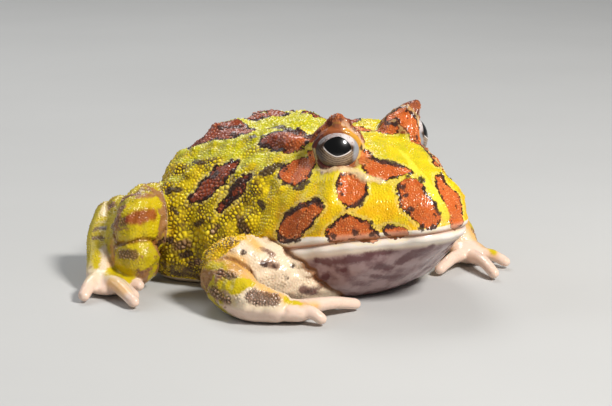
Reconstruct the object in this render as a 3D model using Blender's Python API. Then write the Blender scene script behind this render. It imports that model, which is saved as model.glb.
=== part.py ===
"""Argentine horned frog, life size, crouched on its belly with its arms spread.

The frog faces -Y, its left side is +X and it rests on the floor z = 0, in metres.
The trunk and head are one lofted body that is parted with thin cuts, and the legs
are lofted on their own and trimmed where they press against what they grow from.
"""

import math

import bmesh
import bpy
import numpy as np
from mathutils import Matrix, Vector

# Driving dimensions
SNOUT_Y = -0.0475
VENT_Y = 0.0495
JAW_HALF_WIDTH = 0.0285
GIRTH_HALF_WIDTH = 0.0375
BACK_HEIGHT = 0.0435
EYE_RADIUS = 0.0064
EYE_CENTER = Vector((0.0130, -0.0187, 0.0391))
HORN_HEIGHT = 0.0492
PARTING_GAP = 0.0003
FLOOR_SINK = 0.0016

# Mesh fineness
BODY_VOXEL = 0.0010
LIMB_VOXEL = 0.0006
BODY_TRIANGLES = 4400
THICK_LIMB_TRIANGLES = 380
HAND_TRIANGLES = 850
FOOT_TRIANGLES = 900
LID_TRIANGLES = 400
BODY_SIDES = 64
LIMB_SIDES = 20
LOFT_STEPS = 6

SIDES = {"right": -1.0, "left": 1.0}


def clear_scene():
    for old in list(bpy.data.objects):
        bpy.data.objects.remove(old)


def add_object(name, mesh):
    made = bpy.data.objects.new(name, mesh)
    bpy.context.scene.collection.objects.link(made)
    return made


def remove_objects(objects):
    for obj in objects:
        bpy.data.objects.remove(obj)


def flowing_rows(rows, steps):
    """Catmull-Rom rows through the given rows, which include one guide row at each end."""
    rows = np.array(rows, float)
    flow = []
    for before, start, end, after in zip(rows, rows[1:], rows[2:], rows[3:]):
        for t in np.arange(steps) / steps:
            flow.append(
                0.5
                * (
                    2 * start
                    + (end - before) * t
                    + (2 * before - 5 * start + 4 * end - after) * t**2
                    + (3 * start - before - 3 * end + after) * t**3
                )
            )
    flow.append(rows[-2])
    return np.array(flow)


def loft(name, rings, first_tip, last_tip):
    """A closed skin over rings of points, with a pole at each end."""
    shape = bmesh.new()
    loops = [[shape.verts.new(point) for point in ring] for ring in rings]
    count = len(loops[0])
    for near, far in zip(loops, loops[1:]):
        for i in range(count):
            j = (i + 1) % count
            shape.faces.new((near[i], near[j], far[j], far[i]))
    for loop, tip in ((loops[0], first_tip), (loops[-1], last_tip)):
        pole = shape.verts.new(tip)
        for i in range(count):
            shape.faces.new((loop[i], loop[(i + 1) % count], pole))
    bmesh.ops.recalc_face_normals(shape, faces=shape.faces)
    mesh = bpy.data.meshes.new(name)
    shape.to_mesh(mesh)
    shape.free()
    return add_object(name, mesh)


def limb(name, stations, sides=LIMB_SIDES):
    """A rounded tube. Each station is (x, y, z, half width, half height)."""
    rows = np.array(stations, float)
    guides = np.vstack([2 * rows[0] - rows[1], rows, 2 * rows[-1] - rows[-2]])
    guides[0, 3:], guides[-1, 3:] = rows[0, 3:], rows[-1, 3:]
    flow = flowing_rows(guides, LOFT_STEPS)
    along = np.gradient(flow[:, :3], axis=0)
    along /= np.linalg.norm(along, axis=1)[:, None]
    across = np.cross(along, (0.0, 0.0, 1.0))
    across /= np.linalg.norm(across, axis=1)[:, None]
    upward = np.cross(across, along)
    turn = np.linspace(0, 2 * math.pi, sides, endpoint=False)

    def ring(i, share, shift):
        middle = flow[i, :3] + along[i] * shift
        wide, high = flow[i, 3] * share, flow[i, 4] * share
        return [middle + across[i] * wide * math.cos(a) + upward[i] * high * math.sin(a) for a in turn]

    rings = []
    dome = np.radians((20.0, 45.0, 70.0))
    first_reach, last_reach = flow[0, 3:].mean(), flow[-1, 3:].mean()
    rings += [ring(0, math.sin(a), -first_reach * math.cos(a)) for a in dome]
    rings += [ring(i, 1.0, 0.0) for i in range(len(flow))]
    rings += [ring(-1, math.sin(a), last_reach * math.cos(a)) for a in dome[::-1]]
    first_tip = flow[0, :3] - along[0] * first_reach
    last_tip = flow[-1, :3] + along[-1] * last_reach
    return loft(name, rings, first_tip, last_tip)


def ball(name, center, radii, segments=32, rings=20):
    shape = bmesh.new()
    bmesh.ops.create_uvsphere(shape, u_segments=segments, v_segments=rings, radius=1.0)
    bmesh.ops.scale(shape, vec=radii, verts=shape.verts)
    bmesh.ops.translate(shape, vec=center, verts=shape.verts)
    mesh = bpy.data.meshes.new(name)
    shape.to_mesh(mesh)
    shape.free()
    return add_object(name, mesh)


def block(name, low, high):
    shape = bmesh.new()
    bmesh.ops.create_cube(shape, size=1.0)
    low, high = Vector(low), Vector(high)
    bmesh.ops.scale(shape, vec=high - low, verts=shape.verts)
    bmesh.ops.translate(shape, vec=(low + high) / 2, verts=shape.verts)
    mesh = bpy.data.meshes.new(name)
    shape.to_mesh(mesh)
    shape.free()
    return add_object(name, mesh)


def apply_modifiers(obj):
    graph = bpy.context.evaluated_depsgraph_get()
    mesh = bpy.data.meshes.new_from_object(obj.evaluated_get(graph))
    obj.modifiers.clear()
    obj.data = mesh


def joined(name, pieces):
    """One object that holds the pieces' meshes, and the pieces removed."""
    shape = bmesh.new()
    for piece in pieces:
        shape.from_mesh(piece.data)
    mesh = bpy.data.meshes.new(name)
    shape.to_mesh(mesh)
    shape.free()
    remove_objects(pieces)
    return add_object(name, mesh)


def fused(name, pieces, voxel, smoothing):
    """The pieces grown into one closed skin, with soft fillets where they meet."""
    skin = joined(name, pieces)
    remesh = skin.modifiers.new("one_skin", "REMESH")
    remesh.mode = "VOXEL"
    remesh.voxel_size = voxel
    soften = skin.modifiers.new("fillets", "SMOOTH")
    soften.factor = 0.5
    soften.iterations = smoothing
    apply_modifiers(skin)
    return skin


def thin_out(obj, triangles):
    """Collapses edges until about this many triangles are left."""
    obj.data.calc_loop_triangles()
    reduce = obj.modifiers.new("facets", "DECIMATE")
    reduce.ratio = min(1.0, triangles / len(obj.data.loop_triangles))
    reduce.use_collapse_triangulate = True
    apply_modifiers(obj)


def grown(obj, by=PARTING_GAP):
    """A copy whose surface lies outside the object's by the parting gap."""
    copy = add_object(obj.name + "_grown", obj.data.copy())
    swell = copy.modifiers.new("swell", "DISPLACE")
    swell.mid_level = 0.0
    swell.strength = by
    apply_modifiers(copy)
    return copy


def keep_largest(obj):
    """Keeps the closed surface that spans the most, and drops loose scraps."""
    shape = bmesh.new()
    shape.from_mesh(obj.data)
    unseen = set(shape.faces)
    bodies = []
    while unseen:
        body, edge_of_it = [], [unseen.pop()]
        while edge_of_it:
            face = edge_of_it.pop()
            body.append(face)
            for side in face.edges:
                for other in side.link_faces:
                    if other in unseen:
                        unseen.remove(other)
                        edge_of_it.append(other)
        bodies.append(body)
    bodies.sort(key=lambda faces: sum(face.calc_area() for face in faces))
    for body in bodies[:-1]:
        bmesh.ops.delete(shape, geom=body, context="FACES")
    shape.to_mesh(obj.data)
    shape.free()


def shape_with(obj, others, operation):
    """Applies a Boolean with each of the other objects in turn, and removes them."""
    for other in others:
        step = obj.modifiers.new("with_" + other.name, "BOOLEAN")
        step.operation = operation
        step.solver = "EXACT"
        step.object = other
        apply_modifiers(obj)
        keep_largest(obj)
    remove_objects(others)


def trim(obj, neighbours):
    """Parts the object from its neighbours, and flattens it where it rests on the floor."""
    cutters = [grown(other) for other in neighbours]
    if min(vertex.co.z for vertex in obj.data.vertices) < 0:
        cutters.append(block("floor", (-0.2, -0.2, -0.05), (0.2, 0.2, 0.0)))
    shape_with(obj, cutters, "DIFFERENCE")


def copied(name, obj):
    return add_object(name, obj.data.copy())


def turned_over(obj):
    """Mirrors the object to the frog's right side."""
    shape = bmesh.new()
    shape.from_mesh(obj.data)
    bmesh.ops.scale(shape, vec=(-1, 1, 1), verts=shape.verts)
    bmesh.ops.reverse_faces(shape, faces=shape.faces)
    shape.to_mesh(obj.data)
    shape.free()


# Body: snout, throat, trunk and rump in one skin.
# Each row is (y, half width, top, bottom, widest height, upper and lower roundness).
LIP_HEIGHT = 0.0203
VENT_HEIGHT = 0.0135
W, G, B = JAW_HALF_WIDTH, GIRTH_HALF_WIDTH, BACK_HEIGHT
BODY_ROWS = [
    (SNOUT_Y, 0.0, LIP_HEIGHT + 0.0010, LIP_HEIGHT - 0.0010, LIP_HEIGHT, 2.6, 2.0),
    (SNOUT_Y + 0.0006, 0.16 * W, 0.60 * B, 0.415 * B, 0.0203, 2.6, 2.0),
    (SNOUT_Y + 0.0023, 0.27 * W, 0.665 * B, 0.375 * B, 0.0202, 3.4, 2.0),
    (SNOUT_Y + 0.0055, 0.38 * W, 0.735 * B, 0.32 * B, 0.0199, 4.0, 2.0),
    (SNOUT_Y + 0.0095, 0.52 * W, 0.80 * B, 0.25 * B, 0.0195, 3.3, 2.0),
    (SNOUT_Y + 0.0140, 0.67 * W, 0.86 * B, 0.14 * B, 0.0189, 2.6, 2.1),
    (SNOUT_Y + 0.0200, 0.83 * W, 0.915 * B, 0.035 * B, 0.0177, 2.3, 2.2),
    (SNOUT_Y + 0.0280, 0.96 * W, 0.95 * B, -FLOOR_SINK, 0.0157, 2.2, 2.4),
    (SNOUT_Y + 0.0380, 1.00 * W, 0.96 * B, -FLOOR_SINK, 0.0140, 2.2, 3.0),
    (SNOUT_Y + 0.0500, 0.83 * G, 0.955 * B, -FLOOR_SINK, 0.0135, 2.2, 3.8),
    (SNOUT_Y + 0.0620, 0.93 * G, 0.968 * B, -FLOOR_SINK, 0.0130, 2.1, 4.6),
    (SNOUT_Y + 0.0730, 1.00 * G, 0.955 * B, -FLOOR_SINK, 0.0130, 2.1, 5.5),
    (SNOUT_Y + 0.0830, 0.84 * G, 0.775 * B, -FLOOR_SINK, 0.0130, 2.1, 5.0),
    (SNOUT_Y + 0.0910, 0.55 * G, 0.575 * B, 0.03 * B, 0.0132, 2.1, 2.6),
    (SNOUT_Y + 0.0957, 0.28 * G, 0.44 * B, 0.16 * B, 0.0134, 2.0, 2.1),
    (VENT_Y, 0.0, VENT_HEIGHT + 0.0010, VENT_HEIGHT - 0.0010, VENT_HEIGHT, 2.0, 2.0),
]
CREST = [
    (0.0108, -0.0250, 0.0372, 0.0030, 0.0018),
    (0.0112, -0.0130, 0.0390, 0.0052, 0.0032),
    (0.0112, -0.0030, 0.0388, 0.0060, 0.0034),
    (0.0116, 0.0090, 0.0374, 0.0066, 0.0030),
    (0.0120, 0.0210, 0.0362, 0.0060, 0.0012),
]


def signed_power(values, power):
    return np.sign(values) * np.abs(values) ** power


def body_rings():
    rows = np.array(BODY_ROWS)

    def mirrored(tip, inner):
        """The guide row past a tip, which closes it with a round end."""
        guide = inner.copy()
        guide[1] = -inner[1]
        guide[2], guide[3] = tip[2] + tip[3] - inner[2], tip[2] + tip[3] - inner[3]
        return guide

    first, last = mirrored(rows[0], rows[1]), mirrored(rows[-1], rows[-2])
    flow = flowing_rows(np.vstack([first, rows, last]), LOFT_STEPS)
    turn = np.linspace(0, 2 * math.pi, BODY_SIDES, endpoint=False)
    rings = []
    for y, wide, top, bottom, waist, upper, lower in flow[1:-1]:
        up = np.sin(turn) >= 0
        power = np.where(up, 2 / upper, 2 / lower)
        x = wide * signed_power(np.cos(turn), power)
        z = waist + np.where(up, top - waist, waist - bottom) * signed_power(np.sin(turn), power)
        rings.append([Vector((a, y, b)) for a, b in zip(x, z)])
    return rings


def on_side(point, side):
    return (point[0] * side, *point[1:])


def build_body():
    trunk = loft("trunk", body_rings(), (0, SNOUT_Y, LIP_HEIGHT), (0, VENT_Y, VENT_HEIGHT))
    crests = [limb("crest", [on_side(row, side) for row in CREST]) for side in SIDES.values()]
    body = fused("body", [trunk, *crests], BODY_VOXEL, 6)
    thin_out(body, BODY_TRIANGLES)
    return body


# Parting of the body: the mouth line runs back from the lip to the neck, and the
# neck plane leans back from the throat to the nape just behind the mouth corner.
MOUTH_LINE = [
    (-0.0600, 0.0203),
    (-0.0475, 0.0203),
    (-0.0450, 0.0200),
    (-0.0380, 0.0192),
    (-0.0300, 0.0180),
    (-0.0220, 0.0162),
    (-0.0140, 0.0143),
]
MOUTH_CORNER = (-0.0098, 0.0133)
NECK_LEAN = 0.25
CELL_REACH = 0.07


def neck_y(z):
    return MOUTH_CORNER[0] + (z - MOUTH_CORNER[1]) * NECK_LEAN


def cell(name, outline):
    """A prism along X over a closed outline of (y, z) points."""
    shape = bmesh.new()
    ends = [[shape.verts.new((x, y, z)) for y, z in outline] for x in (-CELL_REACH, CELL_REACH)]
    for i in range(len(outline)):
        j = (i + 1) % len(outline)
        shape.faces.new((ends[0][i], ends[0][j], ends[1][j], ends[1][i]))
    shape.faces.new(ends[0])
    shape.faces.new(ends[1])
    bmesh.ops.recalc_face_normals(shape, faces=shape.faces)
    mesh = bpy.data.meshes.new(name)
    shape.to_mesh(mesh)
    shape.free()
    return add_object(name, mesh)


def part_body(body):
    """Cuts the body into torso, head and lower jaw, one parting gap apart."""
    half = PARTING_GAP / 2
    high, low = 0.07, 0.0
    upper = [(y, z + half) for y, z in (*MOUTH_LINE, MOUTH_CORNER)]
    lower = [(y, z - half) for y, z in (*MOUTH_LINE, MOUTH_CORNER)]
    outlines = {
        "torso": [(neck_y(z) + half, z) for z in (low, high)] + [(0.07, high), (0.07, low)],
        "head": [(upper[0][0], high), *upper[:-1], (neck_y(upper[-1][1]) - half, upper[-1][1])]
        + [(neck_y(high) - half, high)],
        "lower_jaw": [(lower[0][0], low), *lower[:-1], (neck_y(lower[-1][1]) - half, lower[-1][1])]
        + [(neck_y(low) - half, low)],
    }
    parts = {}
    for name, outline in outlines.items():
        parts[name] = copied(name, body)
        shape_with(parts[name], [cell("cell", outline)], "INTERSECT")
    remove_objects([body])
    return parts


# Eyes, lids and horns. Sections of the lid and horn are level ellipses, drawn out
# along the line the eye looks along: (height, shift, half length, half width).
GAZE_RISE = math.radians(13.0)
SIDEWAYS = Vector((math.sqrt(0.5), -math.sqrt(0.5), 0.0))
GAZE = SIDEWAYS * math.cos(GAZE_RISE) + Vector((0.0, 0.0, math.sin(GAZE_RISE)))
LID_THICKNESS = 0.0010
LID_OPENING = (0.0066, 0.0054)
LID_OPENING_AHEAD = 0.0082
HORN_ROWS = [
    (0.0395, -0.0004, 0.0070, 0.0068),
    (0.0430, -0.0004, 0.0060, 0.0056),
    (0.0455, 0.0004, 0.0045, 0.0038),
    (0.0472, 0.0013, 0.0031, 0.0025),
    (0.0484, 0.0023, 0.0018, 0.0014),
    (HORN_HEIGHT, 0.0031, 0.0006, 0.0005),
]
LID_KNOB = EYE_CENTER + Vector((-0.0010, -0.0023, 0.0074))


def build_eye(name, side):
    return ball(name, on_side(EYE_CENTER, side), [EYE_RADIUS] * 3, 20, 12)


def lid_opening():
    """The space in front of the left eyeball that its lids leave open."""
    opening = ball("opening", (0, 0, 0), (0.0090, *LID_OPENING), 20, 12)
    opening.data.transform(GAZE.to_track_quat("X", "Z").to_matrix().to_4x4())
    opening.data.transform(Matrix.Translation(EYE_CENTER + GAZE * LID_OPENING_AHEAD))
    return opening


def build_lid(name):
    """The left lid around the upper eyeball, with the pointed flap that stands on its edge."""
    center, gaze = EYE_CENTER, SIDEWAYS
    across = Vector((-gaze.y, gaze.x, 0.0))
    reach = EYE_RADIUS + LID_THICKNESS
    rows = np.array(HORN_ROWS)
    flow = flowing_rows(np.vstack([2 * rows[0] - rows[1], rows, rows[-1]]), LOFT_STEPS)
    turn = np.linspace(0, 2 * math.pi, 24, endpoint=False)
    rings = []
    for height, shift, length, width in flow:
        middle = Vector((center.x, center.y, height)) + gaze * shift
        rings.append([middle + gaze * length * math.cos(a) + across * width * math.sin(a) for a in turn])
    root = Vector((center.x, center.y, HORN_ROWS[0][0] - 0.001))
    tip = Vector((center.x, center.y, HORN_HEIGHT + 0.0002)) + gaze * HORN_ROWS[-1][1]
    pieces = [
        ball("mound", center, (reach, reach, reach)),
        loft("horn", rings, root, tip),
        ball("knob", LID_KNOB, (0.0013, 0.0013, 0.0013)),
    ]
    lid = fused(name, pieces, LIMB_VOXEL, 2)
    thin_out(lid, LID_TRIANGLES)
    below = block("below", center - Vector((0.02, 0.02, 0.03)), center + Vector((0.02, 0.02, -0.0045)))
    shape_with(lid, [lid_opening(), below], "DIFFERENCE")
    return lid


# Legs. Each station is (x, y, z, half width, half height) on the frog's right side.
THIGH = [
    (0.0140, 0.0360, 0.0125, 0.0086, 0.0090),
    (0.0260, 0.0345, 0.0138, 0.0090, 0.0100),
    (0.0365, 0.0300, 0.0160, 0.0082, 0.0102),
    (0.0435, 0.0260, 0.0162, 0.0062, 0.0090),
]
SHANK = [
    (0.0458, 0.0238, 0.0086, 0.0056, 0.0076),
    (0.0436, 0.0300, 0.0096, 0.0060, 0.0082),
    (0.0390, 0.0370, 0.0126, 0.0052, 0.0070),
    (0.0356, 0.0430, 0.0156, 0.0044, 0.0054),
]
SOLE = [
    (0.0372, 0.0465, 0.0152, 0.0036, 0.0038),
    (0.0446, 0.0405, 0.0115, 0.0037, 0.0035),
    (0.0496, 0.0345, 0.0075, 0.0038, 0.0032),
    (0.0528, 0.0298, 0.0040, 0.0046, 0.0027),
]
TOES = [
    [(0.0520, 0.0310, 0.0030), (0.0485, 0.0270, 0.0028), (0.0460, 0.0240, 0.0016)],
    [(0.0525, 0.0300, 0.0030), (0.0505, 0.0240, 0.0030), (0.0495, 0.0190, 0.0024)],
    [(0.0530, 0.0295, 0.0030), (0.0542, 0.0220, 0.0032), (0.0550, 0.0145, 0.0016)],
    [(0.0535, 0.0295, 0.0032), (0.0565, 0.0190, 0.0036), (0.0590, 0.0097, 0.0017)],
    [(0.0535, 0.0300, 0.0032), (0.0595, 0.0265, 0.0036), (0.0645, 0.0235, 0.0017)],
]
UPPER_ARM = [
    (0.0160, -0.0170, 0.0058, 0.0074, 0.0074),
    (0.0240, -0.0140, 0.0058, 0.0076, 0.0068),
    (0.0310, -0.0096, 0.0084, 0.0082, 0.0080),
    (0.0370, -0.0065, 0.0100, 0.0076, 0.0082),
    (0.0395, -0.0045, 0.0098, 0.0064, 0.0072),
]
FOREARM = {
    "right": [
        (0.0405, -0.0045, 0.0084, 0.0062, 0.0070),
        (0.0440, -0.0120, 0.0064, 0.0056, 0.0062),
        (0.0450, -0.0195, 0.0049, 0.0049, 0.0049),
        (0.0415, -0.0255, 0.0038, 0.0042, 0.0037),
    ],
    "left": [
        (0.0405, -0.0040, 0.0086, 0.0062, 0.0068),
        (0.0425, -0.0095, 0.0076, 0.0056, 0.0060),
        (0.0410, -0.0145, 0.0062, 0.0047, 0.0048),
        (0.0390, -0.0180, 0.0050, 0.0041, 0.0039),
    ],
}
PALM = {
    "right": [(0.0410, -0.0260, 0.0033, 0.0040, 0.0030), (0.0375, -0.0290, 0.0029, 0.0044, 0.0025)],
    "left": [(0.0386, -0.0185, 0.0042, 0.0042, 0.0032), (0.0372, -0.0225, 0.0032, 0.0052, 0.0026)],
}
FINGERS = {
    "right": [
        [(0.0380, -0.0265, 0.0026), (0.0320, -0.0255, 0.0026), (0.0270, -0.0235, 0.0016)],
        [(0.0370, -0.0275, 0.0028), (0.0295, -0.0285, 0.0031), (0.0225, -0.0272, 0.0017)],
        [(0.0370, -0.0285, 0.0032), (0.0280, -0.0312, 0.0035), (0.0198, -0.0320, 0.0017)],
        [(0.0380, -0.0300, 0.0028), (0.0370, -0.0330, 0.0032), (0.0358, -0.0354, 0.0017)],
    ],
    "left": [
        [(0.0360, -0.0215, 0.0028), (0.0285, -0.0235, 0.0034), (0.0216, -0.0247, 0.0017)],
        [(0.0360, -0.0235, 0.0028), (0.0320, -0.0315, 0.0034), (0.0290, -0.0380, 0.0017)],
        [(0.0375, -0.0235, 0.0028), (0.0398, -0.0280, 0.0032), (0.0410, -0.0323, 0.0017)],
        [(0.0385, -0.0220, 0.0026), (0.0415, -0.0240, 0.0026), (0.0435, -0.0262, 0.0016)],
    ],
}
FINGER_RADII = (0.0021, 0.0016, 0.0014)
TOE_RADII = (0.0025, 0.0019, 0.0015)


def digit(points, radii, side):
    return limb("digit", [(*on_side(point, side), r, 0.95 * r) for point, r in zip(points, radii)], 12)


def thick_limb(name, stations, side, triangles=THICK_LIMB_TRIANGLES):
    made = fused(name, [limb(name, [on_side(row, side) for row in stations])], LIMB_VOXEL, 2)
    thin_out(made, triangles)
    return made


def build_hand(name, side_name):
    side = SIDES[side_name]
    pieces = [limb("palm", [on_side(row, side) for row in PALM[side_name]])]
    pieces += [digit(points, FINGER_RADII, side) for points in FINGERS[side_name]]
    hand = fused(name, pieces, LIMB_VOXEL, 3)
    thin_out(hand, HAND_TRIANGLES)
    return hand


def build_foot(name, side):
    pieces = [limb("sole", [on_side(row, side) for row in SOLE])]
    pieces += [digit(points, TOE_RADII, side) for points in TOES]
    pieces.append(ball("web", on_side((0.0550, 0.0262, 0.0020), side), (0.0055, 0.0068, 0.0016)))
    foot = fused(name, pieces, LIMB_VOXEL, 3)
    thin_out(foot, FOOT_TRIANGLES)
    return foot


# Nostrils: open pits whose middle lies on the skin of the snout
NOSTRIL = (0.0042, -0.0401, 0.0333)
NOSTRIL_RADIUS = 0.0007


def material(name, color, roughness):
    made = bpy.data.materials.new(name)
    made.use_nodes = True
    surface = made.node_tree.nodes["Principled BSDF"]
    surface.inputs["Base Color"].default_value = (*color, 1.0)
    surface.inputs["Roughness"].default_value = roughness
    surface.inputs["Metallic"].default_value = 0.0
    return made


# Assembly: each piece is trimmed by the pieces made before it that it presses on.
clear_scene()
parts = part_body(build_body())
whole_head = copied("whole_head", parts["head"])
pits = [ball("pit", on_side(NOSTRIL, side), [NOSTRIL_RADIUS] * 3, 10, 8) for side in SIDES.values()]
openings = [lid_opening(), lid_opening()]
turned_over(openings[1])
shape_with(parts["head"], pits + openings, "DIFFERENCE")
eyes = [build_eye("eye_" + side_name, side) for side_name, side in SIDES.items()]
parts |= {eye.name: eye for eye in eyes}
trim(parts["head"], eyes)


def add_piece(name, made, neighbours):
    """Trims a piece by its neighbours. The head counts as it was before its sockets were cut."""
    parts[name] = made
    trim(made, [whole_head if other == "head" else parts[other] for other in neighbours])


for side_name, side in SIDES.items():
    eye, lid, thigh, shank, foot, upper_arm, forearm, hand = (
        f"{piece}_{side_name}"
        for piece in ("eye", "eyelid_horn", "thigh", "shank", "foot", "upper_arm", "forearm", "hand")
    )
    made = build_lid(lid)
    if side < 0:
        turned_over(made)
    add_piece(lid, made, [eye, "head"])
    add_piece(thigh, thick_limb(thigh, THIGH, side), ["torso"])
    add_piece(shank, thick_limb(shank, SHANK, side), ["torso", thigh])
    add_piece(foot, build_foot(foot, side), [thigh, shank])
    add_piece(upper_arm, thick_limb(upper_arm, UPPER_ARM, side), ["torso", "head", "lower_jaw"])
    add_piece(
        forearm,
        thick_limb(forearm, FOREARM[side_name], side),
        ["torso", "head", "lower_jaw", upper_arm],
    )
    add_piece(hand, build_hand(hand, side_name), ["lower_jaw", upper_arm, forearm])

remove_objects([whole_head])

LOOKS = {
    "torso": ((0.42, 0.46, 0.03), 0.45),
    "head": ((0.62, 0.56, 0.03), 0.45),
    "lower_jaw": ((0.66, 0.56, 0.50), 0.45),
    "eye": ((0.10, 0.08, 0.06), 0.08),
    "eyelid_horn": ((0.42, 0.17, 0.09), 0.45),
    "upper_arm": ((0.66, 0.50, 0.36), 0.45),
    "forearm": ((0.52, 0.42, 0.12), 0.45),
    "hand": ((0.70, 0.50, 0.42), 0.42),
    "thigh": ((0.42, 0.40, 0.08), 0.45),
    "shank": ((0.46, 0.40, 0.10), 0.45),
    "foot": ((0.66, 0.50, 0.34), 0.42),
}
for name, part in parts.items():
    kind = name.removesuffix("_right").removesuffix("_left")
    part.data.materials.clear()
    part.data.materials.append(material(name + "_skin" if kind != "eye" else name + "_glass", *LOOKS[kind]))
    part.data.shade_smooth()
    part.data.set_sharp_from_angle(angle=math.radians(40))
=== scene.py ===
import math

import bmesh
import bpy
import numpy as np
from mathutils import Matrix, Vector
from mathutils.bvhtree import BVHTree
from mathutils.kdtree import KDTree


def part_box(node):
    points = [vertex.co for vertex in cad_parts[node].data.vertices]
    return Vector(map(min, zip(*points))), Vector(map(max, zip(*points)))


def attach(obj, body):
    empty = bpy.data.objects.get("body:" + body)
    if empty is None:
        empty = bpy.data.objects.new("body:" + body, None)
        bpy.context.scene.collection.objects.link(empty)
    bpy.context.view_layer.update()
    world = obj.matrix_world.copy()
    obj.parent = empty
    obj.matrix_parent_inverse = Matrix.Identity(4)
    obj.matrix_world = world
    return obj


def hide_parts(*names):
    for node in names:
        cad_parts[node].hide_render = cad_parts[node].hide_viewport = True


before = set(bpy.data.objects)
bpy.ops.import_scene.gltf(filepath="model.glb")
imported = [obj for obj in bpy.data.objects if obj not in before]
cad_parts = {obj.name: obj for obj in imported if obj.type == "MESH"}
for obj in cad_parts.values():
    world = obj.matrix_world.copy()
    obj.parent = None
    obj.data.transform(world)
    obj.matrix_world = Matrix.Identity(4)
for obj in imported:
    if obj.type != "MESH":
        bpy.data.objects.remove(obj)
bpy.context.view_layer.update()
MM = 0.001

# Camera: it looks at the frog from its front right, a little above the lip.
# The marks that the photo shows are found on the skin by looking through it,
# at their place in the 612 x 406 picture.
PICTURE = (612, 406)
CAMERA_TURN, CAMERA_RISE = math.radians(-45.0), math.radians(12.8)
CAMERA_REACH = 0.500
LENS, SENSOR = 107.0, 36.0
AIM = Vector((-0.0029, 0.0029, 0.0200))
MM_PER_PIXEL = 0.268

toward_camera = Vector((
    math.sin(CAMERA_TURN) * math.cos(CAMERA_RISE),
    -math.cos(CAMERA_TURN) * math.cos(CAMERA_RISE),
    math.sin(CAMERA_RISE),
))
lens = bpy.data.cameras.new("camera")
lens.lens, lens.sensor_width = LENS, SENSOR
lens.clip_start, lens.clip_end = 0.01, 20.0
camera = bpy.data.objects.new("camera", lens)
bpy.context.scene.collection.objects.link(camera)
camera.location = AIM + toward_camera * CAMERA_REACH
camera.rotation_euler = toward_camera.to_track_quat("Z", "Y").to_euler()
bpy.context.scene.camera = camera


def sight_line(spot):
    """The direction from the camera through a place in the picture."""
    x = (spot[0] - PICTURE[0] / 2) / PICTURE[0] * SENSOR / LENS
    y = (PICTURE[1] / 2 - spot[1]) / PICTURE[0] * SENSOR / LENS
    return (camera.rotation_euler.to_matrix() @ Vector((x, y, -1.0))).normalized()


# Body form: head, jaw and trunk are one soft bag of skin, and each limb is a
# thick, short roll of flesh that presses against it. Every piece is rounded off
# on its own, so that tight creases stay where two pieces of flesh meet.
PARTING, CLOSING = 0.30 * MM, 0.8
BODY_GRAIN, LIMB_GRAIN, LID_GRAIN, SKIN_GRAIN = 0.50 * MM, 0.32 * MM, 0.25 * MM, 0.27 * MM
BODY_ROUNDS, LIMB_ROUNDS, TOE_ROUNDS, LID_ROUNDS, FOLD_ROUNDS, SKIN_ROUNDS = 45, 30, 12, 6, 4, 3
ROUND_IN, ROUND_OUT = 0.62, 0.64


def add_object(name, mesh):
    made = bpy.data.objects.new(name, mesh)
    bpy.context.scene.collection.objects.link(made)
    return made


def points_of(mesh):
    flat = np.empty(len(mesh.vertices) * 3, np.float32)
    mesh.vertices.foreach_get("co", flat)
    return flat.reshape(-1, 3).astype(float)


def set_points(mesh, points):
    mesh.vertices.foreach_set("co", points.astype(np.float32).ravel())
    mesh.update()


def normals_of(mesh):
    flat = np.empty(len(mesh.vertices) * 3, np.float32)
    mesh.vertex_normals.foreach_get("vector", flat)
    return flat.reshape(-1, 3).astype(float)


class Weave:
    """Which points of a mesh are neighbours, for evening out shapes and values."""

    def __init__(self, mesh):
        pairs = np.empty(len(mesh.edges) * 2, np.int32)
        mesh.edges.foreach_get("vertices", pairs)
        pairs = pairs.reshape(-1, 2)
        self.here = np.concatenate([pairs[:, 0], pairs[:, 1]])
        self.there = np.concatenate([pairs[:, 1], pairs[:, 0]])
        self.count = len(mesh.vertices)
        self.degree = np.maximum(np.bincount(self.here, minlength=self.count), 1)

    def mean(self, values):
        if values.ndim == 1:
            return np.bincount(self.here, values[self.there], self.count) / self.degree
        return np.stack([self.mean(column) for column in values.T], 1)

    def even(self, values, rounds, share=0.6):
        for _ in range(rounds):
            values = values + share * (self.mean(values) - values)
        return values

    def round_off(self, points, rounds):
        """Takes facets and steps away without making the form smaller."""
        for _ in range(rounds):
            points = points + ROUND_IN * (self.mean(points) - points)
            points = points - ROUND_OUT * (self.mean(points) - points)
        return points


def flesh(name, nodes, grain, rounds):
    """One rounded piece of flesh over these pieces of the frame, with the partings closed."""
    shape = bmesh.new()
    for node in nodes:
        piece = bmesh.new()
        piece.from_mesh(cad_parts[node].data)
        bmesh.ops.remove_doubles(piece, verts=piece.verts, dist=1e-6)
        piece.normal_update()
        swollen = [vertex.co + vertex.normal * PARTING * CLOSING for vertex in piece.verts]
        for vertex, point in zip(piece.verts, swollen):
            vertex.co = point
        part = bpy.data.meshes.new(node + "_part")
        piece.to_mesh(part)
        piece.free()
        shape.from_mesh(part)
        bpy.data.meshes.remove(part)
    mesh = bpy.data.meshes.new(name)
    shape.to_mesh(mesh)
    shape.free()
    return wrapped(add_object(name, mesh), grain, rounds)


def wrapped(obj, grain, rounds):
    """The object's outer surface as one even mesh, rounded off."""
    wrap = obj.modifiers.new("wrap", "REMESH")
    wrap.mode = "VOXEL"
    wrap.voxel_size = grain
    graph = bpy.context.evaluated_depsgraph_get()
    mesh = bpy.data.meshes.new_from_object(obj.evaluated_get(graph))
    obj.modifiers.clear()
    obj.data = mesh
    set_points(mesh, Weave(mesh).round_off(points_of(mesh), rounds))
    return obj


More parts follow.
